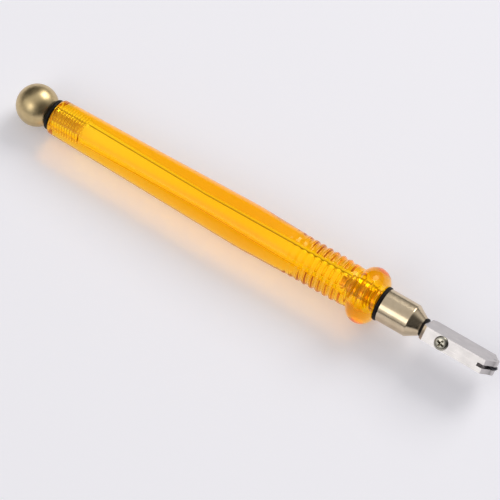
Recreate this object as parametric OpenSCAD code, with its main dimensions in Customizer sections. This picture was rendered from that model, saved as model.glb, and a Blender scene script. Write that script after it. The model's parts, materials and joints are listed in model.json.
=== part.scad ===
// Oil-fed pencil glass cutter.
// The tool lies along X as it lies on a bench, with its cutting wheel at +X and +Z up.
// Its head is turned about X by head_roll. Stations along the tool are measured forwards
// from the handle's rear face and moved so that the origin is the middle of the length.

/* [Handle] */
// Length of the amber handle
handle_len = 122.9; // [118:0.1:128]
// Radius of the handle at its rear face
rear_r = 6; // [5.6:0.1:6.6]
// Radius of the handle at its thickest place
waist_r = 7.6; // [7.2:0.1:8.4]
// Station of the thickest place
waist_at = 75; // [65:0.5:80]
// Radius over the grip ribs
rib_r = 7.1; // [6.9:0.05:7.2]
// Depth of the grooves between the ribs
rib_depth = 0.54; // [0.2:0.02:0.8]
// Distance from one rib to the next
rib_pitch = 2.5; // [2:0.1:3]
// Number of ribs, the rear three of which fade out
rib_count = 8; // [5:1:9]
// Radius of the finger ring's round section
bulge_tube_r = 4.7; // [4.2:0.1:5]
// Radius at the middle of that section
bulge_mid_r = 4.85; // [4.6:0.05:5.2]
// Radius of the oil reservoir's bore at its two ends
reservoir_r = 2.6; // [2.2:0.1:2.8]
// Radius where the two tapered halves of that bore meet
reservoir_waist_r = 1.9; // [1.6:0.1:2.2]
// Distance from the rear face to that meeting
reservoir_waist_x = 57; // [40:1:80]

/* [Filler cap] */
// Radius of the end ball
ball_r = 7; // [6:0.1:8]
// Radius of the ball's stud, M6
stud_r = 2.93; // [2.9:0.01:2.98]
// Pitch of the stud's thread
stud_pitch = 1; // [0.75:0.25:1]
// How far the stud reaches into the handle
stud_reach = 9.8; // [7:0.1:11]
// Thickness of the rear O-ring
rear_ring_t = 1.8; // [1.5:0.1:2]
// Mean radius of the rear O-ring
rear_ring_r = 4.4; // [4.2:0.05:4.6]

/* [Ferrule] */
// Radius of the ferrule's straight part
ferrule_r = 5.5; // [5:0.1:5.7]
// Length of the straight part
ferrule_len = 10.3; // [9:0.1:12]
// Length of the cone in front of it
cone_len = 3.9; // [3.5:0.1:4.5]
// Radius at the front of the cone
nose_r = 3.1; // [2.9:0.05:3.3]
// Radius of the screwed spigot, M8
spigot_r = 3.95; // [3.9:0.01:3.98]
// Length of the screwed spigot inside the handle
spigot_len = 10.5; // [9:0.1:11]
// Thickness of the front gasket
gasket_t = 1.2; // [1:0.1:1.5]
// Thickness of the rubber ring at the nose
nose_ring_t = 1; // [0.8:0.05:1.2]

/* [Valve] */
// Radius of the sliding stem
stem_r = 1.5; // [1.4:0.02:1.6]
// Radius of the stem's thin rear rod
rod_r = 0.8; // [0.7:0.02:0.9]
// Radius of the ferrule's spring chamber
chamber_r = 2.35; // [2.3:0.01:2.45]
// Wire diameter of the return spring
wire_d = 0.45; // [0.35:0.01:0.5]
// Mean radius of the return spring
coil_r = 1.86; // [1.84:0.01:1.9]
// Number of coils between the spring's closed ends
coils = 7; // [5:1:9]

/* [Head] */
// How far the head is turned about the tool's axis, from its lock screw straight up
head_roll = 41; // [0:1:90]
// Length of the head from its rear face to its blunt point
head_len = 25.25; // [24:0.05:27]
// Depth of the head, across the narrow faces
head_depth = 11; // [10:0.1:12]
// Thickness of the head, across the wide faces
head_t = 4.7; // [4.5:0.1:5.5]
// Length of the sloping front
slope_len = 3; // [2.5:0.1:3.5]
// Radius of the blunt point
point_r = 2.5; // [2:0.1:3]
// Chamfer at the rear of the narrow faces
rear_chamfer = 1.2; // [0.8:0.1:1.5]
// Distance from the head's rear face to the lock screw
screw_at = 7.45; // [7:0.05:8]
// Radius of the lock screw's head
screw_head_r = 2.3; // [2:0.05:2.3]
// Height of the lock screw's head
screw_head_h = 0.95; // [0.8:0.05:1.2]

/* [Wheel] */
// Radius of the cutting wheel
wheel_r = 2; // [1.9:0.05:2.1]
// Thickness of the cutting wheel
wheel_t = 0.9; // [0.8:0.05:0.95]
// How far the wheel stands out of the head
wheel_proud = 0.5; // [0.4:0.05:0.7]
// Width of the wheel's slot
slot_w = 1.1; // [1.05:0.05:1.3]
// Radius of the wheel's axle
axle_r = 0.5; // [0.4:0.02:0.5]

/* [Hidden] */
$fn = 96;
eps = 0.01;

// Clearances
run = 0.05;
touch = 0.05;
screwed = 0.07;

// Stations from the handle's rear face to the wheel
ferrule_back = handle_len + gasket_t;
cone_back = ferrule_back + ferrule_len;
nose_face = cone_back + cone_len;
head_back = nose_face + nose_ring_t + touch;
head_front = head_back + head_len;
slope_back = head_front - slope_len;
wheel_x = head_front + wheel_proud - wheel_r;
spigot_back = handle_len - spigot_len;

// Stations of the filler cap
rear_ring_x = -rear_ring_t / 2;
ball_x = rear_ring_x - sqrt(pow(ball_r + rear_ring_t / 2, 2) - pow(rear_ring_r, 2));
stud_back = ball_x - 4.6;

// Stations of the valve, from the seat forwards
seat_back = spigot_back - 0.75;
seat_front = spigot_back + 2.6;
seal_t = 0.9;
seal_back = seat_back - touch - seal_t;
seal_washer_t = 0.4;
seal_washer_back = seal_back - seal_washer_t;
nut_t = 1;
nut_back = seal_washer_back - nut_t;
rod_back = nut_back - 0.2;
chamber_front = ferrule_back + 5.4;
clip_t = 0.5;
clip_front = chamber_front - 0.4;
clip_back = clip_front - clip_t;
spring_washer_t = 0.5;
spring_washer_back = clip_back - touch - spring_washer_t;
thick_stem_back = spring_washer_back - 1.5;
stem_front = head_back + 10.25;
socket_front = stem_front + 0.6;

// Smaller sizes
stud_bore_r = stud_r + screwed;
stud_bore_len = stud_reach + 1.7;
spigot_bore_r = spigot_r + screwed;
edge_round = 1;
neck_r = 6.85;
first_rib_x = handle_len - 14.6;
oil_r = 0.5;
cross_hole_r = 0.45;
neck_groove_r = 1;
neck_groove_w = 3;
screw_r = 1.25;
screw_tip_z = neck_groove_r + 0.15;
clip_groove_r = 1.1;
wheel_bevel = 0.25;
slot_back = slope_back - 1.2;

// The middle of the whole length is the origin
rear_end = ball_x - ball_r;
front_end = head_front + wheel_proud;
mid_x = (rear_end + front_end) / 2;

// Puts a piece that is modelled along Z on the X axis, at x
module along(x) {
    translate([x, 0, 0])
        rotate([0, 90, 0])
            children();
}

// The same on the tool, where x is a station
module at_station(x) {
    along(x - mid_x)
        children();
}

// Puts a piece of the head, modelled upright on stations, in its place on the tool
module on_head() {
    translate([-mid_x, 0, 0])
        rotate([head_roll, 0, 0])
            children();
}

// A flat ring along Z
module ring(outer, inner, t) {
    difference() {
        cylinder(r = outer, h = t);
        translate([0, 0, -eps])
            cylinder(r = inner, h = t + 2 * eps);
    }
}

// A round rubber ring whose middle lies at z = 0
module o_ring(mean, section_r) {
    rotate_extrude()
        translate([mean, 0])
            circle(r = section_r, $fn = 48);
}

// Outline of a screw thread as a row of V grooves, from z = 0 up
function thread_outline(r, depth, pitch, turns) = concat(
    [[0, 0]],
    [for (i = [0 : turns - 1], k = [0, 0.5])
        [r - (k == 0 ? depth : 0), (i + k) * pitch]],
    [[r - depth, turns * pitch], [0, turns * pitch]]
);

module thread(r, depth, pitch, turns) {
    rotate_extrude()
        polygon(thread_outline(r, depth, pitch, turns));
}

// Radius of the grip in front of the waist, a soft fall to the ribs
function grip_r(x) = rib_r + (waist_r - rib_r)
    * pow(max(0, first_rib_x - 10 - x) / (first_rib_x - 10 - waist_at), 2);

// How deep the groove in front of rib i is: the rear three fade out
function groove_depth(i) = rib_depth * min(1, (rib_count - i) / 4);

// The handle's outline from its rear face to its front face, as [radius, station]
rear_edge = [for (a = [0 : 15 : 90])
    [rear_r - edge_round * (1 - sin(a)), edge_round * (1 - cos(a))]];
waist = [[rear_r + (waist_r - rear_r) * 0.96, waist_at - 3], [waist_r - 0.02, waist_at]];
fall = [for (x = [waist_at + 3 : 3 : first_rib_x - rib_pitch * (rib_count - 0.5)])
    [grip_r(x), x]];
ribs = [for (i = [rib_count - 1 : -1 : 0], k = [-4 : 3])
    let (x = first_rib_x - rib_pitch * (i - k / 8))
    [grip_r(x) - groove_depth(i + (k < 0 ? 1 : 0)) * (1 - cos(45 * k)) / 2, x]];
neck = [[neck_r - 0.25, first_rib_x + 1.3], [neck_r, first_rib_x + 2.3],
    [neck_r, first_rib_x + 3.9], [neck_r - 0.45, first_rib_x + 5.2]];
bulge_x = handle_len - sqrt(pow(bulge_tube_r, 2) - pow(0.96, 2));
bulge = [for (a = [162 : -9 : 13])
    [bulge_mid_r + bulge_tube_r * sin(a), bulge_x + bulge_tube_r * cos(a)]];

module handle_barrel() {
    color([1, 0.64, 0.06, 0.8])
    difference() {
        at_station(0)
            rotate_extrude()
                polygon(concat(
                    [[0, 0]],
                    rear_edge,
                    waist,
                    fall,
                    ribs,
                    neck,
                    bulge,
                    [[bulge_mid_r + 0.96, handle_len], [0, handle_len]]
                ));
        at_station(-eps)
            cylinder(r = stud_bore_r, h = stud_bore_len + eps);
        at_station(stud_bore_len - eps)
            cylinder(
                r1 = reservoir_r,
                r2 = reservoir_waist_r,
                h = reservoir_waist_x - stud_bore_len + eps
            );
        at_station(reservoir_waist_x - eps)
            cylinder(
                r1 = reservoir_waist_r,
                r2 = reservoir_r,
                h = spigot_back - reservoir_waist_x - 0.2
            );
        at_station(spigot_back - 0.4)
            cylinder(r = spigot_bore_r, h = spigot_len + 1);
    }
}

module end_ball() {
    color([0.72, 0.66, 0.56])
    difference() {
        at_station(ball_x)
            sphere(r = ball_r);
        at_station(stud_back - 0.3)
            cylinder(r = stud_r + 0.03, h = ball_r + 6);
    }
}

module cap_stud() {
    turns = floor((stud_reach - stud_back) / stud_pitch);
    color([0.7, 0.6, 0.5])
        at_station(stud_reach - turns * stud_pitch)
            thread(stud_r, 0.5, stud_pitch, turns);
}

module rear_o_ring() {
    color([0.05, 0.05, 0.05])
        at_station(rear_ring_x)
            o_ring(rear_ring_r, rear_ring_t / 2 - 0.02);
}

module front_gasket() {
    color([0.05, 0.05, 0.05])
        at_station(handle_len)
            ring(5.8, spigot_bore_r, gasket_t);
}

module ferrule() {
    thread_turns = 8;
    thread_pitch = 1.25;
    color([0.74, 0.68, 0.6])
    difference() {
        union() {
            at_station(spigot_back)
                thread(spigot_r, 0.6, thread_pitch, thread_turns);
            at_station(spigot_back + eps)
                cylinder(r = spigot_r - 0.6, h = ferrule_back - spigot_back + 0.5);
            at_station(ferrule_back)
                rotate_extrude()
                    polygon([[0, 0], [ferrule_r - 0.2, 0], [ferrule_r, 0.2],
                        [ferrule_r, ferrule_len], [nose_r, ferrule_len + cone_len],
                        [0, ferrule_len + cone_len]]);
        }
        at_station(spigot_back - eps)
            cylinder(r = chamber_r, h = chamber_front - spigot_back + eps);
        at_station(chamber_front - eps)
            cylinder(r = stem_r + run, h = nose_face - chamber_front + 1);
        at_station(cone_back - 1)
            cylinder(r = 2.36, h = 0.9);
    }
}

module nose_o_ring() {
    color([0.05, 0.05, 0.05])
        at_station(nose_face)
            rotate_extrude()
                polygon([[1.65, 0], [nose_r - 0.15, 0], [nose_r + 0.05, 0.25],
                    [nose_r + 0.05, nose_ring_t - 0.25], [nose_r - 0.15, nose_ring_t],
                    [1.65, nose_ring_t]]);
}

module stem_o_ring() {
    color([0.08, 0.08, 0.08])
        at_station(cone_back - 0.55)
            o_ring(1.94, 0.37);
}

module valve_seat() {
    color([0.72, 0.4, 0.22])
    difference() {
        union() {
            at_station(seat_back)
                cylinder(r = 2, h = seat_front - seat_back);
            at_station(spigot_back)
                thread(chamber_r - 0.04, 0.25, 0.5, 5);
        }
        at_station(seat_back - eps)
            cylinder(r = rod_r + 0.4, h = seat_front - seat_back + 1);
    }
}

// Thin rod at the rear, thick stem with an oil passage in front, and the neck that the
// lock screw's tip sits over
module valve_stem() {
    neck_back = head_back + screw_at - neck_groove_w / 2;
    color([0.8, 0.72, 0.5])
    difference() {
        at_station(0)
            rotate_extrude()
                polygon([[0, rod_back], [rod_r, rod_back], [rod_r, thick_stem_back],
                    [stem_r, thick_stem_back], [stem_r, clip_back - 0.03],
                    [clip_groove_r, clip_back - 0.03], [clip_groove_r, clip_front + 0.03],
                    [stem_r, clip_front + 0.03], [stem_r, neck_back],
                    [neck_groove_r, neck_back], [neck_groove_r, neck_back + neck_groove_w],
                    [stem_r, neck_back + neck_groove_w], [stem_r, stem_front - 0.2],
                    [stem_r - 0.2, stem_front], [0, stem_front]]);
        at_station(thick_stem_back + 0.7)
            cylinder(r = oil_r, h = stem_front - thick_stem_back);
        translate([thick_stem_back + 0.75 - mid_x, 0, 0])
            rotate([90, 0, 0])
                cylinder(r = cross_hole_r, h = 4, center = true);
    }
}

// The wire's centre line climbs one wire diameter per turn in the closed end turns
// and evenly in between
spring_back = seat_front + wire_d / 2;
spring_rise = spring_washer_back - seat_front - wire_d - 0.04;
open_rise = spring_rise - 2 * wire_d;
sides = 8;
steps = 20;

function coil_climb(turn) = turn < 1 ? turn * wire_d
    : turn > coils + 1 ? wire_d + open_rise + (turn - coils - 1) * wire_d
    : wire_d + open_rise * (turn - 1) / coils;

function wire_ring(turn) = [for (k = [0 : sides - 1])
    let (across = coil_r + wire_d / 2 * cos(360 * k / sides))
    [across * cos(360 * turn), across * sin(360 * turn),
        coil_climb(turn) + wire_d / 2 * sin(360 * k / sides)]];

module return_spring() {
    rings = steps * (coils + 2);
    points = [for (i = [0 : rings]) each wire_ring(i / steps)];
    skin = [for (i = [0 : rings - 1], k = [0 : sides - 1])
        [i * sides + k, i * sides + (k + 1) % sides,
            (i + 1) * sides + (k + 1) % sides, (i + 1) * sides + k]];
    ends = [[for (k = [sides - 1 : -1 : 0]) k],
        [for (k = [0 : sides - 1]) rings * sides + k]];
    color([0.75, 0.75, 0.78])
        at_station(spring_back)
            polyhedron(points, concat(skin, ends), convexity = 8);
}

module spring_washer() {
    color([0.78, 0.78, 0.8])
        at_station(spring_washer_back)
            ring(2.2, stem_r + 0.03, spring_washer_t);
}

// Open clip pushed sideways into the stem's groove
module stem_clip() {
    color([0.35, 0.35, 0.38])
    difference() {
        at_station(clip_back)
            ring(2.15, clip_groove_r + 0.03, clip_t);
        translate([clip_back + clip_t / 2 - mid_x, 0, -1.5])
            cube([clip_t + 1, 1.6, 3], center = true);
    }
}

module valve_seal() {
    color([0.1, 0.1, 0.1])
        at_station(seal_back)
            ring(1.75, rod_r + 0.02, seal_t);
}

module seal_washer() {
    color([0.75, 0.75, 0.78])
        at_station(seal_washer_back)
            ring(1.75, rod_r + 0.04, seal_washer_t);
}

module seal_nut() {
    color([0.78, 0.6, 0.35])
    difference() {
        at_station(nut_back)
            cylinder(r = 1.7, h = nut_t, $fn = 6);
        at_station(nut_back - eps)
            cylinder(r = rod_r + 0.03, h = nut_t + 1);
    }
}

// The head's side view: chamfered rear, straight narrow faces, sloping front, blunt point
half_depth = head_depth / 2;
sharp_x = head_front + 0.35;
slope_angle = atan((sharp_x - slope_back) / half_depth);
head_side = concat(
    [[head_back, -half_depth + rear_chamfer], [head_back + rear_chamfer, -half_depth],
        [slope_back, -half_depth]],
    [for (k = [-4 : 4])
        let (a = k / 4 * (90 - slope_angle))
        [head_front - point_r + point_r * cos(a), point_r * sin(a)]],
    [[slope_back, half_depth], [head_back + rear_chamfer, half_depth],
        [head_back, half_depth - rear_chamfer]]
);

module cutter_head() {
    color([0.8, 0.79, 0.77])
    on_head()
    difference() {
        rotate([90, 0, 0])
            linear_extrude(height = head_t, center = true)
                polygon(head_side);
        along(head_back - eps)
            cylinder(r = stem_r + run, h = socket_front - head_back);
        along(socket_front - 0.1)
            cylinder(r = oil_r, h = slope_back - socket_front);
        translate([slot_back, -slot_w / 2, -half_depth - 1])
            cube([slope_len + 3, slot_w, head_depth + 2]);
        translate([head_back + screw_at, 0, 0])
            cylinder(r = screw_r + 0.03, h = half_depth + 1);
        translate([wheel_x, 0, 0])
            rotate([90, 0, 0])
                cylinder(r = axle_r + 0.01, h = head_t + 2, center = true);
    }
}

module lock_screw() {
    shank = half_depth - screw_tip_z;
    pitch = 0.45;
    turns = floor(shank / pitch);
    dome = [for (a = [0 : 15 : 90])
        [screw_head_r - 0.55 + 0.55 * cos(a), screw_head_h - 0.55 + 0.55 * sin(a)]];
    color([0.82, 0.82, 0.84])
    on_head()
    translate([head_back + screw_at, 0, 0])
    difference() {
        union() {
            translate([0, 0, half_depth - turns * pitch])
                thread(screw_r, 0.22, pitch, turns);
            translate([0, 0, half_depth])
                rotate_extrude()
                    polygon(concat([[0, -eps], [screw_r - 0.22, -eps], [screw_r - 0.22, 0.02],
                        [screw_head_r, 0.02]], dome, [[0, screw_head_h]]));
        }
        for (turn = [0, 90])
            translate([0, 0, half_depth + screw_head_h])
                rotate([0, 0, turn])
                    cube([2.5, 0.6, 1.1], center = true);
    }
}

module cutting_wheel() {
    color([0.25, 0.25, 0.27])
    on_head()
        translate([wheel_x, 0, 0])
            rotate([90, 0, 0])
                rotate_extrude()
                    polygon([[axle_r + run, -wheel_t / 2], [wheel_r - wheel_bevel, -wheel_t / 2],
                        [wheel_r, 0], [wheel_r - wheel_bevel, wheel_t / 2],
                        [axle_r + run, wheel_t / 2]]);
}

module wheel_axle() {
    color([0.6, 0.6, 0.62])
    on_head()
        translate([wheel_x, 0, 0])
            rotate([90, 0, 0])
                cylinder(r = axle_r, h = head_t - 0.1, center = true);
}

handle_barrel();
end_ball();
cap_stud();
rear_o_ring();
front_gasket();
ferrule();
nose_o_ring();
stem_o_ring();
valve_seat();
valve_stem();
return_spring();
spring_washer();
stem_clip();
valve_seal();
seal_washer();
seal_nut();
cutter_head();
lock_screw();
cutting_wheel();
wheel_axle();
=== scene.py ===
import json
import math

import bpy
import numpy as np
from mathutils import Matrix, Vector


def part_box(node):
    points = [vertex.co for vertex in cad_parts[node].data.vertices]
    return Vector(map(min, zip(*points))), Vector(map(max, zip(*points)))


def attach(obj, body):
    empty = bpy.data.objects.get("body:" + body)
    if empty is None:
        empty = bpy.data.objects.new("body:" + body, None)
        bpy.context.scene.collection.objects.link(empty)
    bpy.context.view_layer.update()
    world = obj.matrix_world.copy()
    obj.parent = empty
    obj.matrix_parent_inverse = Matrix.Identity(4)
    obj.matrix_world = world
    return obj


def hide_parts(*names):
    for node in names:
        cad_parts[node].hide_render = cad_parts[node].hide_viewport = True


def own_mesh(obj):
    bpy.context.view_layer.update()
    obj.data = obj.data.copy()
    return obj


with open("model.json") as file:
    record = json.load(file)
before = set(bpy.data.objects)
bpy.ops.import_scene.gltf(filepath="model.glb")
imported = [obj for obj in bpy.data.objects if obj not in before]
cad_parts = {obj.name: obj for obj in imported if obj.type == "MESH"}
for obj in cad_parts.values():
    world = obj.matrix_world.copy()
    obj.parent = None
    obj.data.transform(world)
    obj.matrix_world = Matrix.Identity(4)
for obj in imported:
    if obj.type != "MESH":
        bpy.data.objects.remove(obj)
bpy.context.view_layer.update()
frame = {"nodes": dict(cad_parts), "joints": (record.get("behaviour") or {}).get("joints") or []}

mm = 0.001


# ---- Bench, camera and studio ----
# A pale bench top that the cutter lies on. The tool touches it at the finger ring and at
# the end ball, which is thinner, so the bench falls by that difference towards the wheel.
handle_low, handle_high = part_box("handle_barrel")
ball_low, ball_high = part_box("end_ball")
ring_from_front = 4.6 * mm
ring_x = handle_high.x - ring_from_front
ball_x = ball_low.x + (ball_high.z - ball_low.z) / 2
bench_slope = (ball_low.z - handle_low.z) / (ring_x - ball_x)
bench_reach = 4.0


def shader(name):
    """A new material with its Principled node, its output and a function that adds nodes."""
    m = bpy.data.materials.new(name)
    m.use_nodes = True
    nodes = m.node_tree.nodes
    principled = nodes["Principled BSDF"]

    def add(kind, **values):
        n = nodes.new("ShaderNode" + kind)
        for key, value in values.items():
            if hasattr(n, key):
                setattr(n, key, value)
            else:
                n.inputs[key.replace("_", " ")].default_value = value
        return n

    return m, principled, add, m.node_tree.links.new


def bench_paper():
    """Pale lavender paper, dead matt: two close greys in wide soft clouds, and a little light
    coming through from below."""
    m, p, add, link = shader("bench_paper")
    place = add("TexCoord")
    cloud = add("TexNoise", Scale=1.4, Detail=2.0)
    tone = add("ValToRGB")
    tone.color_ramp.elements[0].color = (0.865, 0.855, 0.90, 1)
    tone.color_ramp.elements[1].color = (0.89, 0.88, 0.92, 1)
    link(place.outputs["Object"], cloud.inputs["Vector"])
    link(cloud.outputs["Fac"], tone.inputs["Fac"])
    link(tone.outputs["Color"], p.inputs["Base Color"])
    p.inputs["Roughness"].default_value = 1.0
    p.inputs["Specular IOR Level"].default_value = 0.0
    p.inputs["Emission Color"].default_value = (0.98, 0.97, 1.0, 1)
    p.inputs["Emission Strength"].default_value = 0.185
    return m


def bench_top():
    """A flat square through the ring's lowest point: z is low less slope times (x - ring)."""
    side = np.array([-1.0, 1.0])
    x, y = np.meshgrid(side * bench_reach, side * bench_reach)
    z = handle_low.z - bench_slope * (x - ring_x)
    mesh = bpy.data.meshes.new("bench")
    mesh.from_pydata(np.stack([x, y, z], -1).reshape(-1, 3), [], [(0, 1, 3, 2)])
    top = bpy.data.objects.new("bench", mesh)
    bpy.context.scene.collection.objects.link(top)
    mesh.materials.append(bench_paper())
    return top


bench_top()

aim = Vector((2.68, -5.62, -2.52)) * mm
azimuth, elevation = math.radians(33.24), math.radians(61.8)
camera_distance = 943.4 * mm
towards_camera = Vector((
    math.sin(azimuth) * math.cos(elevation),
    -math.cos(azimuth) * math.cos(elevation),
    math.sin(elevation),
))
camera = bpy.data.objects.new("camera", bpy.data.cameras.new("camera"))
bpy.context.scene.collection.objects.link(camera)
bpy.context.scene.camera = camera
camera.location = aim + towards_camera * camera_distance
camera.rotation_euler = (-towards_camera).to_track_quat("-Z", "Y").to_euler()
camera.data.lens = 216
camera.data.sensor_width = 36
camera.data.clip_start = 0.01
camera.data.clip_end = 20


def softbox(name, direction, distance, width, height, radiance, tint):
    """A rectangular lamp facing the tool: power is pi times its area times its radiance."""
    lamp = bpy.data.lights.new(name, "AREA")
    lamp.shape = "RECTANGLE"
    lamp.size = width
    lamp.size_y = height
    lamp.energy = math.pi * width * height * radiance
    lamp.color = tint
    box = bpy.data.objects.new(name, lamp)
    box.location = Vector(direction).normalized() * distance
    box.rotation_euler = box.location.to_track_quat("Z", "Y").to_euler()
    box.visible_camera = False
    bpy.context.scene.collection.objects.link(box)


def compass(turn, height):
    """A direction from its degrees round from +Y towards +X, and its degrees up."""
    t, h = math.radians(turn), math.radians(height)
    return Vector((math.sin(t) * math.cos(h), math.cos(t) * math.cos(h), math.sin(h)))


softbox("back_softbox", compass(13, 39), 1.6, 0.8, 0.85, 4.6, (1.0, 0.99, 0.97))
softbox("front_softbox", compass(-165, 42), 1.6, 0.65, 0.75, 1.35, (1.0, 0.985, 0.96))


def amber_glow(centre, length, width, strength):
    """A warm strip close above the bench beside the handle, seen only by matt surfaces: the
    light that the clear amber gathers and throws there."""
    lamp = bpy.data.lights.new("amber_glow", "AREA")
    lamp.shape = "RECTANGLE"
    lamp.size = length
    lamp.size_y = width
    lamp.energy = strength
    lamp.color = (1.0, 0.42, 0.0)
    strip = bpy.data.objects.new("amber_glow", lamp)
    strip.location = centre
    strip.visible_camera = False
    strip.visible_glossy = False
    strip.visible_transmission = False
    bpy.context.scene.collection.objects.link(strip)


glow_centre = Vector(((handle_low.x + ring_x) / 2, handle_low.y * 0.95, handle_low.z * 0.6))
amber_glow(glow_centre, ring_x - handle_low.x, 9 * mm, 0.0007)

studio = bpy.data.worlds.new("studio")
bpy.context.scene.world = studio
studio.use_nodes = True
sky = studio.node_tree
sky_place = sky.nodes.new("ShaderNodeTexCoord")
sky_split = sky.nodes.new("ShaderNodeSeparateXYZ")
sky_tone = sky.nodes.new("ShaderNodeValToRGB")
for stop, level in ((0.0, 0.08), (0.08, 0.14), (0.25, 0.5), (0.55, 0.88), (0.85, 0.76), (1.0, 0.66)):
    if stop in (0.0, 1.0):
        mark = sky_tone.color_ramp.elements[-1 if stop else 0]
    else:
        mark = sky_tone.color_ramp.elements.new(stop)
    mark.color = (level, level, level * 1.02, 1)
sky.links.new(sky_place.outputs["Generated"], sky_split.inputs[0])
sky.links.new(sky_split.outputs["Z"], sky_tone.inputs["Fac"])


def tinted_region(colour, direction, inner, outer, gain):
    """The sky's colour times 1 + gain within inner degrees of a direction, easing to 1
    at outer degrees."""
    along = sky.nodes.new("ShaderNodeVectorMath")
    along.operation = "DOT_PRODUCT"
    along.inputs[1].default_value = direction
    share = sky.nodes.new("ShaderNodeMapRange")
    share.interpolation_type = "SMOOTHSTEP"
    share.inputs["From Min"].default_value = math.cos(math.radians(outer))
    share.inputs["From Max"].default_value = math.cos(math.radians(inner))
    share.inputs["To Min"].default_value = 1.0
    share.inputs["To Max"].default_value = 1.0 + gain
    product = sky.nodes.new("ShaderNodeVectorMath")
    product.operation = "SCALE"
    sky.links.new(sky_place.outputs["Generated"], along.inputs[0])
    sky.links.new(along.outputs["Value"], share.inputs["Value"])
    sky.links.new(colour, product.inputs[0])
    sky.links.new(share.outputs["Result"], product.inputs["Scale"])
    return product.outputs[0]


sky_colour = tinted_region(sky_tone.outputs["Color"], compass(112, 22), 30, 68, -0.88)
sky_colour = tinted_region(sky_colour, compass(-62, 14), 24, 60, -0.88)
sky_colour = tinted_region(sky_colour, compass(-158, 25), 15, 50, 0.2)
sky.links.new(sky_colour, sky.nodes["Background"].inputs["Color"])
bpy.context.scene.view_settings.view_transform = "Standard"


# ---- Handle ----
# The handle and oil reservoir in one piece of clear amber acrylic, moulded, bored through
# and polished. It is tapped M6 for the filler cap and M8 for the ferrule.
rear_x, front_x = handle_low.x, handle_high.x
rear_r, waist_r, rib_r = 6.0 * mm, 7.6 * mm, 7.1 * mm
waist_at = 75 * mm
rib_pitch, rib_depth, rib_count = 2.5 * mm, 0.54 * mm, 8
first_rib = front_x - rear_x - 14.6 * mm
neck_r = 6.85 * mm
bulge_tube_r, bulge_mid_r = 4.7 * mm, 4.85 * mm
reservoir_r, reservoir_waist_r, reservoir_waist_at = 2.6 * mm, 1.9 * mm, 57 * mm
reservoir_end, mouth_flare = 12.5 * mm, 0.4 * mm
stud_r, stud_pitch, stud_depth = 2.93 * mm, 1.0 * mm, 0.55 * mm
spigot_r, spigot_pitch, spigot_depth = 3.95 * mm, 1.25 * mm, 0.65 * mm
thread_gap = 0.08 * mm
stud_hole_len = 11.5 * mm
spigot_hole_len = 10.9 * mm
rows_per_pitch = 14


def closed_mesh(name, points, quads, poles=()):
    """A mesh object from an array of points and one of quads, with fans to the poles,
    turned outwards if the volume (the sum of a . b x c / 6 over its triangles) is below 0."""
    faces = quads.tolist() + [face for fan in poles for face in fan.tolist()]
    mesh = bpy.data.meshes.new(name)
    mesh.from_pydata(points, [], faces)
    mesh.calc_loop_triangles()
    tri = np.empty(len(mesh.loop_triangles) * 3, np.int32)
    mesh.loop_triangles.foreach_get("vertices", tri)
    a, b, c = (points[tri.reshape(-1, 3)[:, k]] for k in range(3))
    if (a * np.cross(b, c)).sum() < 0:
        mesh.flip_normals()
    mesh.validate()
    mesh.polygons.foreach_set("use_smooth", np.ones(len(mesh.polygons), bool))
    piece = bpy.data.objects.new(name, mesh)
    bpy.context.scene.collection.objects.link(piece)
    return piece


def turned(name, x, r, thread=0.0, pitch=1.0, segments=96, crease=40):
    """A piece turned about the X axis. Its outline runs through (x, r): a closed loop round
    a bored piece, or from axis to axis. A threaded stretch has its radius lowered by
    thread * v, where v falls from 1 between the crests to 0 on them along x / pitch - angle."""
    x, r, thread, pitch = (np.broadcast_to(np.asarray(v, float), np.shape(x)) for v in (x, r, thread, pitch))
    solid = r[0] == 0
    inner = slice(1, -1) if solid else slice(None)
    angle = np.arange(segments) * 2 * math.pi / segments
    turn = x[inner, None] / pitch[inner, None] - angle / (2 * math.pi)
    v = np.clip(1.3 * (1 - 2 * np.abs(turn % 1 - 0.5)) - 0.15, 0, 1)
    radius = r[inner, None] - thread[inner, None] * v
    along = np.broadcast_to(x[inner, None], radius.shape)
    points = np.stack([along, radius * np.cos(angle), radius * np.sin(angle)], -1).reshape(-1, 3)
    rows = len(radius)
    here = np.arange(rows * segments).reshape(rows, segments)
    beside = np.roll(here, -1, 1)
    upto = rows - 1 if solid else rows
    above, above_beside = np.roll(here, -1, 0), np.roll(beside, -1, 0)
    quads = np.stack([here, beside, above_beside, above], -1)[:upto].reshape(-1, 4)
    poles = []
    if solid:
        first, last = len(points), len(points) + 1
        points = np.vstack([points, [x[0], 0, 0], [x[-1], 0, 0]])
        poles = [
            np.stack([beside[0], here[0], np.full(segments, first)], -1),
            np.stack([here[-1], beside[-1], np.full(segments, last)], -1),
        ]
    piece = closed_mesh(name, points, quads, poles)
    if crease:
        piece.data.set_sharp_from_angle(angle=math.radians(crease))
    return piece


def arc(x, r, radius, start, end, steps=8):
    """Points on a circle about (x, r), from one angle to another, in degrees from +X."""
    a = np.radians(np.linspace(start, end, steps))
    return x + radius * np.cos(a), r + radius * np.sin(a)


def joined(*stretches):
    """Outline stretches one after another, each as (x, r)."""
    return tuple(np.concatenate([np.atleast_1d(s[k]) for s in stretches]) for k in (0, 1))


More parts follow.
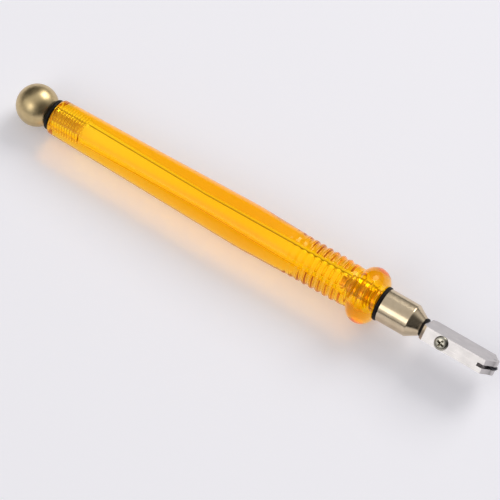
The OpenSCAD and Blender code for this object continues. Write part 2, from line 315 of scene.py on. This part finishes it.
def grip_radius(h):
    """Radius at a distance from the rear face: the lesser of a straight taper and a
    parabola that falls to the ribs, blended softly, less round grooves between the beads,
    each depth (1 - cos(2 pi bead)) / 2, which fade in over the first four."""
    taper = rear_r + (waist_r - rear_r) * h / waist_at
    rib_start = first_rib - 10 * mm
    drop = np.maximum(rib_start - h, 0) / (rib_start - waist_at)
    fall = rib_r + (waist_r - rib_r) * drop ** 2
    soft = 0.07 * mm
    body = -soft * np.log(np.exp(-(taper - rib_r) / soft) + np.exp(-(fall - rib_r) / soft)) + rib_r
    bead = (h - first_rib) / rib_pitch
    fade = np.clip((bead + rib_count) / 4, 0, 1)
    groove = 0.5 - 0.5 * np.cos(2 * math.pi * bead)
    in_ribs = (bead > -rib_count) & (bead < 0.5 + 1e-6)
    return body - np.where(in_ribs, rib_depth * fade * groove, 0)


def eased(low, high, steps):
    """A smooth S between two values, with no slope at its ends."""
    t = np.linspace(0, 1, steps)
    return low + (high - low) * t * t * (3 - 2 * t)


def amber_acrylic():
    """Clear amber: light loses blue fast and green slowly on its way through, and a low
    wide ripple and a few fine scuffs keep the polish from being perfect. A faint orange
    emission all over is a painted glow, standing in for the light that the amber gathers
    and scatters inside."""
    m, p, add, link = shader("amber_acrylic")
    p.inputs["Base Color"].default_value = (1, 1, 1, 1)
    p.inputs["Transmission Weight"].default_value = 1.0
    p.inputs["IOR"].default_value = 1.49
    p.inputs["Specular Tint"].default_value = (1.0, 0.72, 0.3, 1)
    # painted glow: a faint orange emission stands in for light the amber gathers and scatters; the amber is
    # no lamp
    p.inputs["Emission Color"].default_value = (1.0, 0.45, 0.0, 1)
    p.inputs["Emission Strength"].default_value = 0.085
    place = add("TexCoord")
    scuff = add("TexNoise", Scale=900.0, Detail=3.0)
    worn = add("MapRange")
    worn.inputs["From Min"].default_value = 0.5
    worn.inputs["From Max"].default_value = 0.8
    worn.inputs["To Min"].default_value = 0.02
    worn.inputs["To Max"].default_value = 0.10
    ripple = add("TexNoise", Scale=140.0, Detail=1.0)
    bump = add("Bump", Strength=0.25, Distance=0.05 * mm)
    link(place.outputs["Object"], scuff.inputs["Vector"])
    link(place.outputs["Object"], ripple.inputs["Vector"])
    link(scuff.outputs["Fac"], worn.inputs["Value"])
    link(worn.outputs["Result"], p.inputs["Roughness"])
    link(ripple.outputs["Fac"], bump.inputs["Height"])
    link(bump.outputs["Normal"], p.inputs["Normal"])
    dye = add("VolumeAbsorption", Color=(0.985, 0.9, 0.03, 1), Density=520.0)
    out = m.node_tree.nodes["Material Output"]
    link(dye.outputs["Volume"], out.inputs["Volume"])
    return m


def handle():
    """The outside from rear to front, then the bore back again: M8 thread, reservoir, M6."""
    edge, lip, step_len = 1.0 * mm, 0.96 * mm, 1.3 * mm
    bulge_x = front_x - math.sqrt(bulge_tube_r ** 2 - lip ** 2)
    bulge_start = 158
    bulge_end = math.degrees(math.asin(lip / bulge_tube_r))
    neck_foot = bulge_mid_r + bulge_tube_r * math.sin(math.radians(bulge_start))
    foot_x = bulge_x + bulge_tube_r * math.cos(math.radians(bulge_start))
    taper_h = np.linspace(edge, waist_at - 8 * mm, 30)
    ribs_start = first_rib - rib_count * rib_pitch
    waist_h = np.linspace(waist_at - 7 * mm, ribs_start, 24)
    rib_h = np.linspace(ribs_start, first_rib + 0.5 * rib_pitch, 17 * 10 + 1)[1:]
    last_groove = grip_radius(rib_h[-1:])[0]
    neck_x = rear_x + rib_h[-1]
    step_end = neck_x + step_len
    stud_h = np.arange(0.5 * mm, stud_hole_len, stud_pitch / rows_per_pitch)
    spigot_h = np.arange(0.5 * mm, spigot_hole_len, spigot_pitch / rows_per_pitch)
    stud_bore, spigot_bore = stud_r + thread_gap, spigot_r + thread_gap
    waist_x = rear_x + reservoir_waist_at
    front_pin_x = np.linspace(front_x - reservoir_end, waist_x, 16)
    front_pin_r = np.linspace(reservoir_r, reservoir_waist_r, 16)
    rear_pin_x = np.linspace(waist_x, rear_x + reservoir_end, 16)
    rear_pin_r = np.linspace(reservoir_waist_r, reservoir_r, 16)
    stretches = [
        (arc(rear_x + edge, grip_radius(edge) - edge, edge, 180, 95), 0, 1),
        ((rear_x + taper_h, grip_radius(taper_h)), 0, 1),
        ((rear_x + waist_h, grip_radius(waist_h)), 0, 1),
        ((rear_x + rib_h, grip_radius(rib_h)), 0, 1),
        ((np.linspace(neck_x, step_end, 9)[1:], eased(last_groove, neck_r, 9)[1:]), 0, 1),
        ((np.linspace(step_end, foot_x, 14)[1:-1], eased(neck_r, neck_foot, 14)[1:-1]), 0, 1),
        (arc(bulge_x, bulge_mid_r, bulge_tube_r, bulge_start, bulge_end, 44), 0, 1),
        ((front_x, spigot_bore + mouth_flare), 0, 1),
        ((front_x - spigot_h, np.full(len(spigot_h), spigot_bore)), spigot_depth, spigot_pitch),
        ((front_x - spigot_hole_len, spigot_bore), 0, 1),
        ((front_x - spigot_hole_len - 0.8 * mm, reservoir_r), 0, 1),
        ((front_pin_x, front_pin_r), 0, 1),
        ((rear_pin_x[1:], rear_pin_r[1:]), 0, 1),
        ((rear_x + stud_hole_len + 0.4 * mm, reservoir_r), 0, 1),
        ((rear_x + stud_h[::-1], np.full(len(stud_h), stud_bore)), stud_depth, stud_pitch),
        ((rear_x, stud_bore + mouth_flare), 0, 1),
    ]
    x, r = joined(*(s[0] for s in stretches))
    lengths = [np.size(s[0][0]) for s in stretches]
    thread = np.repeat([s[1] for s in stretches], lengths)
    pitch = np.repeat([s[2] for s in stretches], lengths)
    return turned("amber_handle", x, r, thread, pitch, segments=128, crease=0)


amber_handle = handle()
amber_handle.data.materials.append(amber_acrylic())
amber_handle.data.set_sharp_from_angle(angle=math.radians(50))
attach(amber_handle, "handle")
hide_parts("handle_barrel")


# ---- Filler cap ----
# A turned brass ball in satin champagne nickel, screwed for good on an M6 stud. The pair
# closes the reservoir and squeezes a rubber ring against the handle's rear face.
ball_r = (ball_high.z - ball_low.z) / 2


def plated_brass(name, colour, shade, rough, turned_lines):
    """Nickel plate over turned brass: two close metal tones in soft clouds, a satin that
    comes and goes, and fine turning lines along X where the piece was turned."""
    m, p, add, link = shader(name)
    place = add("TexCoord")
    cloud = add("TexNoise", Scale=260.0, Detail=4.0)
    tone = add("ValToRGB")
    tone.color_ramp.elements[0].position = 0.35
    tone.color_ramp.elements[0].color = (*shade, 1)
    tone.color_ramp.elements[1].position = 0.65
    tone.color_ramp.elements[1].color = (*colour, 1)
    satin = add("TexNoise", Scale=700.0, Detail=5.0)
    gloss = add("MapRange")
    gloss.inputs["From Min"].default_value = 0.3
    gloss.inputs["From Max"].default_value = 0.7
    gloss.inputs["To Min"].default_value = rough * 0.85
    gloss.inputs["To Max"].default_value = rough * 1.2
    stretch = add("Mapping")
    stretch.inputs["Scale"].default_value = (6000, 60, 60) if turned_lines else (9000, 9000, 9000)
    grain = add("TexNoise", Scale=1.0, Detail=3.0)
    bump = add("Bump", Strength=0.2, Distance=0.01 * mm)
    for texture in (cloud, satin):
        link(place.outputs["Object"], texture.inputs["Vector"])
    link(place.outputs["Object"], stretch.inputs["Vector"])
    link(stretch.outputs["Vector"], grain.inputs["Vector"])
    link(cloud.outputs["Fac"], tone.inputs["Fac"])
    link(tone.outputs["Color"], p.inputs["Base Color"])
    link(satin.outputs["Fac"], gloss.inputs["Value"])
    link(gloss.outputs["Result"], p.inputs["Roughness"])
    link(grain.outputs["Fac"], bump.inputs["Height"])
    link(bump.outputs["Normal"], p.inputs["Normal"])
    p.inputs["Metallic"].default_value = 1.0
    return m


def ball_cap():
    """A sphere from its rear pole to the mouth of the tapped hole, with the hole inside."""
    hole_r = stud_r + 0.03 * mm
    mouth = math.degrees(math.asin((hole_r + 0.3 * mm) / ball_r))
    outside = arc(ball_x, 0, ball_r, 180, mouth, 60)
    outside[1][0] = 0
    hole_front = outside[0][-1] - 0.3 * mm
    hole_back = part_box("cap_stud")[0].x - 0.3 * mm
    x, r = joined(
        outside,
        (hole_front, hole_r),
        (hole_back, hole_r),
        (hole_back - 1.2 * mm, 0),
    )
    return turned("champagne_ball", x, r, segments=96, crease=50)


champagne = plated_brass("champagne_plate", (0.66, 0.515, 0.275), (0.57, 0.435, 0.225), 0.33, False)
end_ball = ball_cap()
end_ball.data.materials.append(champagne)
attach(end_ball, "cap")
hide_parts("end_ball")


def threaded_rod():
    """A rod with a V thread, chamfered to the root at both ends."""
    low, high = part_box("cap_stud")
    root = stud_r - stud_depth
    x = np.arange(low.x + 0.6 * mm, high.x - 0.6 * mm, stud_pitch / rows_per_pitch)
    x, r = joined(
        (low.x, 0),
        (low.x, root * 0.96),
        (x, np.full(len(x), stud_r)),
        (high.x - 0.54 * mm, root * 0.98),
        (high.x, root * 0.96),
        (high.x, 0),
    )
    thread = np.where(r == stud_r, stud_depth, 0)
    return turned("filler_stud", x, r, thread, stud_pitch, segments=96, crease=60)


stud_brass = plated_brass("stud_brass", (0.8, 0.56, 0.29), (0.62, 0.41, 0.18), 0.5, True)
filler_stud = threaded_rod()
filler_stud.data.materials.append(stud_brass)
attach(filler_stud, "cap")
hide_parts("cap_stud")


# ---- Rubber rings ----
# Black nitrile: a round ring under the ball, a flat gasket under the ferrule, a small ring
# at the ferrule's nose that the head squeezes, and the stem's own seal inside.
def nitrile():
    """Moulded black rubber: a dusty bloom in fine specks over black, and a faint pebble."""
    m, p, add, link = shader("black_nitrile")
    place = add("TexCoord")
    bloom = add("TexNoise", Scale=1800.0, Detail=4.0)
    tone = add("ValToRGB")
    tone.color_ramp.elements[0].position = 0.45
    tone.color_ramp.elements[0].color = (0.004, 0.003, 0.003, 1)
    tone.color_ramp.elements[1].position = 0.8
    tone.color_ramp.elements[1].color = (0.014, 0.012, 0.012, 1)
    bump = add("Bump", Strength=0.3, Distance=0.02 * mm)
    link(place.outputs["Object"], bloom.inputs["Vector"])
    link(bloom.outputs["Fac"], tone.inputs["Fac"])
    link(bloom.outputs["Fac"], bump.inputs["Height"])
    link(tone.outputs["Color"], p.inputs["Base Color"])
    link(bump.outputs["Normal"], p.inputs["Normal"])
    p.inputs["Roughness"].default_value = 0.45
    p.inputs["Specular IOR Level"].default_value = 0.18
    return m


def rubber_ring(name, node, inner_r, corner):
    """A ring between a node's two end planes, its section a rectangle with round corners."""
    low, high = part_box(node)
    outer_r = (high.z - low.z) / 2
    x, r = joined(
        arc(high.x - corner, outer_r - corner, corner, 0, 90, 7),
        arc(low.x + corner, outer_r - corner, corner, 90, 180, 7),
        arc(low.x + corner, inner_r + corner, corner, 180, 270, 7),
        arc(high.x - corner, inner_r + corner, corner, 270, 360, 7),
    )
    return turned(name, x, r, segments=96, crease=0)


rubber = nitrile()
ring_rows = [
    ("cap_ring", "rear_o_ring", "cap_ring", 3.52 * mm, 0.87 * mm),
    ("ferrule_gasket", "front_gasket", "handle", 4.03 * mm, 0.35 * mm),
    ("nose_ring", "nose_o_ring", "handle", 1.65 * mm, 0.4 * mm),
    ("stem_ring", "stem_o_ring", "handle", 1.57 * mm, 0.36 * mm),
]
for piece_name, node_name, body_name, hole_r, corner_r in ring_rows:
    ring_piece = rubber_ring(piece_name, node_name, hole_r, corner_r)
    ring_piece.data.materials.append(rubber)
    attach(ring_piece, body_name)
    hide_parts(node_name)
    if node_name == "nose_o_ring":
        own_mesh(ring_piece)


# ---- Ferrule ----
# Turned brass in champagne nickel: a straight collar and a cone, with an M8 spigot behind
# that screws into the handle. Inside are the spring chamber and the stem's guide.
ferrule_low, ferrule_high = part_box("ferrule")
collar_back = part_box("front_gasket")[1].x
collar_r = (ferrule_high.z - ferrule_low.z) / 2
cone_back = collar_back + 10.3 * mm
nose_r = 3.1 * mm
chamber_r = 2.35 * mm
guide_r = 1.55 * mm


def ferrule_body():
    """Spigot thread, collar and cone outside, then guide, seal groove and chamber inside."""
    chamfer = 0.18 * mm
    nose = ferrule_high.x
    back = ferrule_low.x
    root = spigot_r - spigot_depth
    h = np.arange(back + 0.7 * mm, collar_back - 0.9 * mm, spigot_pitch / rows_per_pitch)
    groove = cone_back - 0.55 * mm
    groove_half, groove_r = 0.46 * mm, 2.34 * mm
    chamber_front = collar_back + 5.4 * mm
    stretches = [
        ((np.array([back, back + 0.15 * mm]), np.array([root * 0.93, root])), 0),
        ((h, np.full(len(h), spigot_r)), spigot_depth),
        ((np.array([collar_back - 0.7 * mm, collar_back]), np.array([root, root])), 0),
        ((np.array([collar_back, collar_back + chamfer]), np.array([collar_r - chamfer, collar_r])), 0),
        ((np.linspace(collar_back + 0.5 * mm, cone_back - 0.12 * mm, 12), np.full(12, collar_r)), 0),
        ((cone_back + 0.1 * mm, collar_r - 0.06 * mm), 0),
        ((nose - 0.1 * mm, nose_r + 0.06 * mm), 0),
        ((np.array([nose, nose]), np.array([nose_r - 0.1 * mm, guide_r + 0.1 * mm])), 0),
        ((np.array([nose - 0.1 * mm, groove + groove_half]), np.array([guide_r, guide_r])), 0),
        ((groove + np.array([groove_half, -groove_half]), np.array([groove_r, groove_r])), 0),
        ((np.array([groove - groove_half, chamber_front]), np.array([guide_r, guide_r])), 0),
        ((np.array([chamber_front, back]), np.array([chamber_r, chamber_r])), 0),
    ]
    x, r = joined(*(s[0] for s in stretches))
    lengths = [np.size(s[0][0]) for s in stretches]
    thread = np.repeat([s[1] for s in stretches], lengths)
    return turned("champagne_ferrule", x, r, thread, spigot_pitch, segments=128, crease=11)


def amber_shade_behind(material, edge_x, shade_tint):
    """Paints shade on the metal behind edge_x: its colour is multiplied by the shade tint,
    a painted amber-tinted shade standing in for the dim orange light that reaches the
    threads through the handle.
    """
    tree = material.node_tree
    plate = tree.nodes["Principled BSDF"].inputs["Base Color"]
    place = tree.nodes.new("ShaderNodeTexCoord")
    split = tree.nodes.new("ShaderNodeSeparateXYZ")
    behind = tree.nodes.new("ShaderNodeMath")
    behind.operation = "LESS_THAN"
    behind.inputs[1].default_value = edge_x
    mix = tree.nodes.new("ShaderNodeMix")
    mix.data_type = "RGBA"
    mix.blend_type = "MULTIPLY"
    plated_in, shade_in, colour_out = mix.inputs[6], mix.inputs[7], mix.outputs[2]
    shade_in.default_value = (*shade_tint, 1)
    tree.links.new(place.outputs["Object"], split.inputs[0])
    tree.links.new(split.outputs["X"], behind.inputs[0])
    tree.links.new(behind.outputs[0], mix.inputs[0])
    tree.links.new(plate.links[0].from_socket, plated_in)
    tree.links.new(colour_out, plate)


ferrule_plate = plated_brass("ferrule_plate", (0.70, 0.575, 0.40), (0.61, 0.49, 0.33), 0.2, True)
# painted shade: the ferrule's thread behind the collar is darkened and reddened to stand in for the
# amber-filtered shade inside the handle
amber_shade_behind(ferrule_plate, collar_back - 0.3 * mm, (0.88, 0.5, 0.32))
ferrule = ferrule_body()
ferrule.data.materials.append(ferrule_plate)
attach(ferrule, "handle")
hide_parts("ferrule")


# ---- Valve ----
# The seat bush screws into the ferrule's rear. The stem slides through it, and the spring
# pushes the stem forward until the rubber disc behind the seat is shut.
def turned_metal(name, colour, shade, rough):
    """Bare turned metal: bright and dull rings along X, and a satin that follows them."""
    m, p, add, link = shader(name)
    place = add("TexCoord")
    stretch = add("Mapping")
    stretch.inputs["Scale"].default_value = (4000, 300, 300)
    rings = add("TexNoise", Scale=1.0, Detail=4.0)
    tone = add("ValToRGB")
    tone.color_ramp.elements[0].position = 0.3
    tone.color_ramp.elements[0].color = (*shade, 1)
    tone.color_ramp.elements[1].position = 0.7
    tone.color_ramp.elements[1].color = (*colour, 1)
    gloss = add("MapRange")
    gloss.inputs["To Min"].default_value = rough * 0.7
    gloss.inputs["To Max"].default_value = rough * 1.4
    bump = add("Bump", Strength=0.25, Distance=0.01 * mm)
    link(place.outputs["Object"], stretch.inputs["Vector"])
    link(stretch.outputs["Vector"], rings.inputs["Vector"])
    link(rings.outputs["Fac"], tone.inputs["Fac"])
    link(rings.outputs["Fac"], gloss.inputs["Value"])
    link(rings.outputs["Fac"], bump.inputs["Height"])
    link(tone.outputs["Color"], p.inputs["Base Color"])
    link(gloss.outputs["Result"], p.inputs["Roughness"])
    link(bump.outputs["Normal"], p.inputs["Normal"])
    p.inputs["Metallic"].default_value = 1.0
    return m


copper = turned_metal("seat_copper", (0.86, 0.46, 0.27), (0.62, 0.28, 0.14), 0.25)
stem_brass = turned_metal("stem_brass", (0.86, 0.68, 0.36), (0.7, 0.52, 0.25), 0.25)
spring_steel = turned_metal("spring_steel", (0.6, 0.6, 0.62), (0.4, 0.4, 0.42), 0.3)


def seat_bush():
    """A bush with a fine thread in front and three grooves round its bare rear end."""
    low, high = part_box("valve_seat")
    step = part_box("ferrule")[0].x
    bush_r = 2.0 * mm
    pitch, depth = 0.5 * mm, 0.22 * mm
    rear = np.linspace(low.x + 0.1 * mm, step, 20)
    h = np.arange(step + 0.1 * mm, high.x - 0.1 * mm, pitch / 8)
    grooves = 0.12 * mm * np.abs(np.sin((rear - low.x) / (step - low.x) * 3 * math.pi))
    bore, thread_r = 1.2 * mm, chamber_r - 0.04 * mm
    x, r = joined(
        (low.x, bush_r - 0.15 * mm),
        (rear, bush_r - grooves),
        (h, np.full(len(h), thread_r)),
        (high.x, chamber_r - depth),
        (high.x, bore),
        (low.x, bore),
    )
    thread = np.where(r == thread_r, depth, 0)
    return turned("seat_bush", x, r, thread, pitch, segments=72, crease=30)


seat = seat_bush()
seat.data.materials.append(copper)
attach(seat, "handle")
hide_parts("valve_seat")


def coil_spring():
    """A wire swept along a helix. The centre climbs one wire a turn in the closed ends and
    evenly between, and each ring of the wire stands across the helix's tangent."""
    low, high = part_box("return_spring")
    wire_r = 0.225 * mm
    coil_r = (high.z - low.z) / 2 - wire_r
    open_turns, rings_per_turn, wire_sides = 7, 36, 12
    turn = np.linspace(0, open_turns + 2, (open_turns + 2) * rings_per_turn + 1)
    climb = high.x - low.x - 2 * wire_r
    open_climb = climb - 4 * wire_r
    x = low.x + wire_r + np.interp(
        turn, [0, 1, open_turns + 1, open_turns + 2], [0, 2 * wire_r, 2 * wire_r + open_climb, climb]
    )
    a = 2 * math.pi * turn
    centre = np.stack([x, coil_r * np.cos(a), coil_r * np.sin(a)], -1)
    tangent = np.gradient(centre, axis=0)
    tangent /= np.linalg.norm(tangent, axis=1, keepdims=True)
    out = np.stack([0 * a, np.cos(a), np.sin(a)], -1)
    side = np.cross(tangent, out)
    spin = np.arange(wire_sides) * 2 * math.pi / wire_sides
    ring = out[:, None] * np.cos(spin)[:, None] + side[:, None] * np.sin(spin)[:, None]
    points = (centre[:, None] + wire_r * ring).reshape(-1, 3)
    here = np.arange(len(points)).reshape(-1, wire_sides)
    beside = np.roll(here, -1, 1)
    quads = np.stack([here[:-1], beside[:-1], beside[1:], here[1:]], -1).reshape(-1, 4)
    ends = [here[:1, ::-1], here[-1:]]
    return closed_mesh("valve_spring", points, quads, ends)


valve_spring = coil_spring()
valve_spring.data.materials.append(spring_steel)
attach(valve_spring, "handle")
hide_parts("return_spring")
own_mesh(valve_spring)

finishes = {
    "valve_stem": stem_brass,
    "seal_nut": copper,
    "spring_washer": spring_steel,
    "stem_clip": spring_steel,
    "seal_washer": copper,
    "valve_seal": rubber,
}
for node_name, finish in finishes.items():
    node = frame["nodes"][node_name]
    node.data.materials.clear()
    node.data.materials.append(finish)


# ---- Head ----
# A flat steel head, milled and nickel plated: satin sides, brighter narrow faces, a sloping
# front with a blunt point, and a saw cut for the wheel. It is made upright on the X axis
# and turned with the tool's own head angle.
screw_axis = Vector(next(j["axis"] for j in frame["joints"] if j["name"] == "lock_screw_turn"))
screw_place = Vector(next(j["pos_m"] for j in frame["joints"] if j["name"] == "lock_screw_turn"))
wheel_place = Vector(next(j["pos_m"] for j in frame["joints"] if j["name"] == "wheel_spin"))
head_roll = math.atan2(-screw_axis.y, screw_axis.z)
head_low, head_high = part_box("cutter_head")
head_back, head_front = head_low.x, head_high.x
half_depth, half_thick = 5.5 * mm, 2.35 * mm
slope_back = head_front - 3.0 * mm
point_r = 2.5 * mm


def rolled(points):
    """Points turned about the X axis by the head's angle."""
    c, s = math.cos(head_roll), math.sin(head_roll)
    x, y, z = points.T
    return np.stack([x, y * c - z * s, y * s + z * c], -1)


def prism(name, outline, y_low, y_high):
    """An outline in x and z carried from y_low to y_high, with flat ends."""
    n = len(outline)
    x, z = np.asarray(outline).T
    points = np.concatenate([np.stack([x, np.full(n, y), z], -1) for y in (y_low, y_high)])
    here = np.arange(n)
    quads = np.stack([here, np.roll(here, -1), np.roll(here, -1) + n, here + n], -1)
    return closed_mesh(name, points, quads, [here[None, ::-1], here[None] + n])


def drilled(name, body, cutters, bevel, segments=3):
    """The body less each cutter, joined into one mesh, with its sharp edges rounded."""
    for cutter in cutters:
        cut = body.modifiers.new("cut", "BOOLEAN")
        cut.operation = "DIFFERENCE"
        cut.solver = "EXACT"
        cut.object = cutter
    rounding = body.modifiers.new("edges", "BEVEL")
    rounding.width = bevel
    rounding.segments = segments
    rounding.limit_method = "ANGLE"
    rounding.angle_limit = math.radians(28)
    rounding.harden_normals = True
    graph = bpy.context.evaluated_depsgraph_get()
    mesh = bpy.data.meshes.new_from_object(body.evaluated_get(graph))
    piece = bpy.data.objects.new(name, mesh)
    mesh.name = name
    bpy.context.scene.collection.objects.link(piece)
    for spare in [body, *cutters]:
        bpy.data.objects.remove(spare)
    return piece


def rod_between(name, x, y, z, axis, radius, length, segments=48):
    """A rod whose middle is at (x, y, z), along axis 0, 1 or 2."""
    a = np.arange(segments) * 2 * math.pi / segments
    others = [k for k in range(3) if k != axis]
    rings = []
    for end in (-0.5, 0.5):
        ring = np.zeros((segments, 3))
        ring[:, others[0]] = radius * np.cos(a)
        ring[:, others[1]] = radius * np.sin(a)
        ring[:, axis] = end * length
        rings.append(ring)
    points = np.concatenate(rings) + (x, y, z)
    here = np.arange(segments)
    quads = np.stack([here, np.roll(here, -1), np.roll(here, -1) + segments, here + segments], -1)
    return closed_mesh(name, points, quads, [here[None, ::-1], here[None] + segments])


def moved(piece, rule):
    """A piece with each of its own points moved by a rule from one array to another."""
    co = np.empty(len(piece.data.vertices) * 3, np.float32)
    piece.data.vertices.foreach_get("co", co)
    piece.data.vertices.foreach_set("co", rule(co.reshape(-1, 3)).astype(np.float32).ravel())
    piece.data.update()
    return piece


def head_blank():
    """Side view with chamfered rear corners, straight edges, slopes and a round point."""
    chamfer, sharp_tip = 1.2 * mm, head_front + 0.35 * mm
    lean = 90 - math.degrees(math.atan((sharp_tip - slope_back) / half_depth))
    point_x, point_z = arc(head_front - point_r, 0, point_r, -lean, lean, 11)
    outline = [
        (head_back, -half_depth + chamfer),
        (head_back + chamfer, -half_depth),
        (slope_back, -half_depth),
        *zip(point_x, point_z),
        (slope_back, half_depth),
        (head_back + chamfer, half_depth),
        (head_back, half_depth - chamfer),
    ]
    return prism("blank", outline, -half_thick, half_thick)


def steel_head():
    """The blank less the wheel's saw cut, the stem's socket, the screw's hole and the
    axle's hole."""
    slot_half = 0.6 * mm
    slot_back = slope_back - 2.0 * mm
    deep = half_depth + 1 * mm
    slot = [(slot_back, -deep), (head_front + 1 * mm, -deep), (head_front + 1 * mm, deep), (slot_back, deep)]
    socket_len = 10.85 * mm
    socket_x = head_back - 1 * mm + socket_len / 2 + 0.5 * mm
    return drilled(
        "steel_head",
        head_blank(),
        [
            prism("saw_cut", slot, -slot_half, slot_half),
            rod_between("socket", socket_x, 0, 0, 0, 1.55 * mm, socket_len + 1 * mm),
            rod_between("screw_hole", screw_place.x, 0, half_depth, 2, 1.28 * mm, 10 * mm),
            rod_between("axle_hole", wheel_place.x, 0, 0, 1, 0.51 * mm, 8 * mm, 32),
        ],
        0.18 * mm,
    )


def milled_steel():
    """Nickel over milled steel: fine grain drawn along X, soft clouds of tone, worn
    brighter here and there, with the satin following the grain."""
    m, p, add, link = shader("milled_steel")
    place = add("TexCoord")
    stretch = add("Mapping")
    stretch.inputs["Scale"].default_value = (120, 5000, 5000)
    grain = add("TexNoise", Scale=1.0, Detail=5.0)
    cloud = add("TexNoise", Scale=320.0, Detail=3.0)
    both = add("Math", operation="MULTIPLY_ADD")
    both.inputs[1].default_value = 0.35
    tone = add("ValToRGB")
    tone.color_ramp.elements[0].position = 0.45
    tone.color_ramp.elements[0].color = (0.52, 0.495, 0.485, 1)
    tone.color_ramp.elements[1].position = 0.85
    tone.color_ramp.elements[1].color = (0.61, 0.58, 0.565, 1)
    gloss = add("MapRange")
    gloss.inputs["From Min"].default_value = 0.3
    gloss.inputs["From Max"].default_value = 0.7
    gloss.inputs["To Min"].default_value = 0.26
    gloss.inputs["To Max"].default_value = 0.38
    bump = add("Bump", Strength=0.2, Distance=0.01 * mm)
    link(place.outputs["Object"], stretch.inputs["Vector"])
    link(place.outputs["Object"], cloud.inputs["Vector"])
    link(stretch.outputs["Vector"], grain.inputs["Vector"])
    link(grain.outputs["Fac"], both.inputs[0])
    link(cloud.outputs["Fac"], both.inputs[2])
    link(both.outputs["Value"], tone.inputs["Fac"])
    link(tone.outputs["Color"], p.inputs["Base Color"])
    link(grain.outputs["Fac"], gloss.inputs["Value"])
    link(gloss.outputs["Result"], p.inputs["Roughness"])
    link(grain.outputs["Fac"], bump.inputs["Height"])
    link(bump.outputs["Normal"], p.inputs["Normal"])
    p.inputs["Metallic"].default_value = 1.0
    return m


head = moved(steel_head(), rolled)
head.data.materials.clear()
head_steel = milled_steel()
head.data.materials.append(head_steel)
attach(head, "head")
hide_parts("cutter_head")


# ---- Lock screw ----
# An M2.5 pan-head screw with a cross recess, bright plated. Its tip sits over the stem's
# neck and keeps the head on.
def on_narrow_face(points):
    """Points made along X, spun 20 degrees about it, stood on the head's narrow face at the
    screw's place and turned with the head."""
    out, y, z = points.T
    c, s = math.cos(math.radians(20)), math.sin(math.radians(20))
    return rolled(np.stack([screw_place.x + y * c - z * s, -(y * s + z * c), half_depth + out], -1))


def pan_screw():
    """A turned blank of dome and shank, less a cross of two tapered slots, then stood on
    the narrow face along the screw's own axis."""
    head_r, top, shank_r = 2.3 * mm, 0.95 * mm, 1.25 * mm
    pitch, depth = 0.45 * mm, 0.22 * mm
    root = shank_r - depth
    shank = half_depth - 1.45 * mm
    rim_h = 0.2 * mm
    round_off = np.radians(np.linspace(0, 90, 12))
    dome = rim_h + (top - rim_h) * np.sin(round_off) ** 0.9, head_r * np.cos(round_off) ** 0.6
    dome[1][-1] = 0
    h = np.arange(-shank + 0.3 * mm, -0.25 * mm, pitch / 8)
    x, r = joined(
        (-shank, 0),
        (-shank, root * 0.9),
        (h, np.full(len(h), shank_r)),
        (0.01 * mm, root),
        (0.01 * mm, head_r - 0.05 * mm),
        (0.06 * mm, head_r),
        dome,
    )
    thread = np.where(r == shank_r, depth, 0)
    blank = turned("screw_blank", x, r, thread, pitch, segments=64, crease=30)
    wide, long, deep, taper = 0.36 * mm, 1.4 * mm, 1.3 * mm, 0.3
    cutters = []
    for quarter in (0, 1):
        half_y, half_z = (wide, long) if quarter else (long, wide)
        y = np.array([-1, 1, 1, -1])
        z = np.array([-1, -1, 1, 1])
        low_ring = np.stack([np.full(4, top - deep), y * half_y * taper, z * half_z * taper], -1)
        high_ring = np.stack([np.full(4, top + 0.3 * mm), y * half_y * 1.1, z * half_z * 1.1], -1)
        sides = np.array([[0, 1, 5, 4], [1, 2, 6, 5], [2, 3, 7, 6], [3, 0, 4, 7]])
        ends = [np.array([[3, 2, 1, 0]]), np.array([[4, 5, 6, 7]])]
        cutters.append(closed_mesh("cross", np.concatenate([low_ring, high_ring]), sides, ends))
    return moved(drilled("pan_screw", blank, cutters, 0.05 * mm, 2), on_narrow_face)


screw_plate = plated_brass("screw_plate", (0.5, 0.47, 0.39), (0.34, 0.32, 0.26), 0.2, False)
screw = pan_screw()
screw.data.materials.clear()
screw.data.materials.append(screw_plate)
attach(screw, "screw")
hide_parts("lock_screw")


# ---- Wheel and axle ----
# A sintered carbide wheel ground to an edge, loose on a hardened pin that is pressed
# through the head.
def along_axle(points):
    """Points made along X, laid along the axle at the wheel's place, turned with the head."""
    x, y, z = points.T
    return rolled(np.stack([wheel_place.x + y, x, -z], -1))


def carbide_wheel():
    """Flat cheeks, two ground bevels that meet in the edge, and a plain bore."""
    half, rim, bevel, bore = 0.45 * mm, 2.0 * mm, 0.25 * mm, 0.55 * mm
    x, r = joined(
        (-half, bore),
        (-half, rim - bevel),
        (0, rim),
        (half, rim - bevel),
        (half, bore),
    )
    return moved(turned("carbide_wheel", x, r, segments=96, crease=20), along_axle)


def hard_pin():
    """A short pin with chamfered ends."""
    half, radius, chamfer = 2.3 * mm, 0.5 * mm, 0.1 * mm
    x, r = joined(
        (-half, 0),
        (-half, radius - chamfer),
        (-half + chamfer, radius),
        (half - chamfer, radius),
        (half, radius - chamfer),
        (half, 0),
    )
    return moved(turned("hard_pin", x, r, segments=48, crease=30), along_axle)


# painted shade: the wheel's carbide is made nearly black so that the saw cut around it reads as dark shade
slot_shade_carbide = turned_metal("carbide_painted_slot_shade", (0.1, 0.1, 0.11), (0.05, 0.05, 0.055), 0.35)
wheel = carbide_wheel()
wheel.data.materials.append(slot_shade_carbide)
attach(wheel, "wheel")
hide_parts("cutting_wheel")

pin = hard_pin()
pin.data.materials.append(spring_steel)
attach(pin, "head")
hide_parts("wheel_axle")
